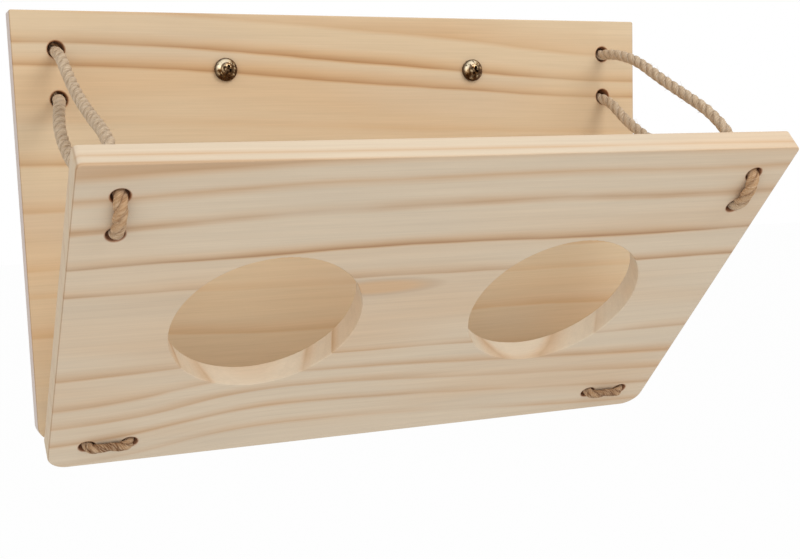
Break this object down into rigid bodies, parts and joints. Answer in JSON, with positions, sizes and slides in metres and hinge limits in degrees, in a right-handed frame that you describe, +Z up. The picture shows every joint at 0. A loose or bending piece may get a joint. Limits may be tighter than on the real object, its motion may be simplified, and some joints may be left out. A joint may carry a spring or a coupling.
{
  "type": "hay feeder",
  "caption": "Hanging V-shaped hay feeder of pine boards hinged with rope ties, with side ropes that hold the tilting front board open and round feeding holes in it.",
  "frame": {"origin": "on the back board's back face, midway between the two hanging screws", "axes": "+X to the right seen from the front, +Y to the back, into the cage wall, +Z up"},
  "size_m": [0.3, 0.1605, 0.1921],
  "materials": {
    "pine_back": "sanded bare pine",
    "pine_front": "sanded bare pine",
    "rope": "twisted natural fibre rope",
    "brass_screw": "brass-plated, satin",
    "zinc_steel": "zinc-plated"
  },
  "bodies": {
    "back": {"back_board": "pine_back", "left_side_rope": "rope", "left_bottom_tie": "rope", "left_side_rope_upper_knot": "rope", "left_side_rope_lower_knot": "rope", "left_bottom_tie_outer_knot": "rope", "left_bottom_tie_inner_knot": "rope", "left_hanging_screw": "brass_screw", "right_side_rope": "rope", "right_bottom_tie": "rope", "right_side_rope_upper_knot": "rope", "right_side_rope_lower_knot": "rope", "right_bottom_tie_outer_knot": "rope", "right_bottom_tie_inner_knot": "rope", "right_hanging_screw": "brass_screw"},
    "front": {"front_board": "pine_front"},
    "left_washer": {"left_washer": "zinc_steel"},
    "left_wing_nut": {"left_wing_nut": "zinc_steel"},
    "right_washer": {"right_washer": "zinc_steel"},
    "right_wing_nut": {"right_wing_nut": "zinc_steel"}
  },
  "joints": [
    {"name": "front_board_tilt", "type": "hinge", "parent": "back", "child": "front", "pos_m": [0, -0.01, -0.156], "axis": [-1, 0, 0], "range_deg": [0, 40], "deforming": ["left_side_rope", "left_bottom_tie", "right_side_rope", "right_bottom_tie"]},
    {"name": "left_washer_slide", "type": "slide", "parent": "back", "child": "left_washer", "axis": [0, 1, 0], "range_m": [-0.006, 0.005]},
    {"name": "left_nut_turn", "type": "hinge", "parent": "left_washer", "child": "left_wing_nut", "pos_m": [-0.06, 0.0076, 0], "axis": [0, 1, 0], "range_deg": [-2690, 2240]},
    {"name": "right_washer_slide", "type": "slide", "parent": "back", "child": "right_washer", "axis": [0, 1, 0], "range_m": [-0.006, 0.005]},
    {"name": "right_nut_turn", "type": "hinge", "parent": "right_washer", "child": "right_wing_nut", "pos_m": [0.06, 0.0076, 0], "axis": [0, 1, 0], "range_deg": [-2690, 2240]}
  ],
  "couplings": [
    {"joint": "left_washer_slide", "follows": "left_nut_turn", "m_per_rad": 0.00012732},
    {"joint": "right_washer_slide", "follows": "right_nut_turn", "m_per_rad": 0.00012732}
  ]
}
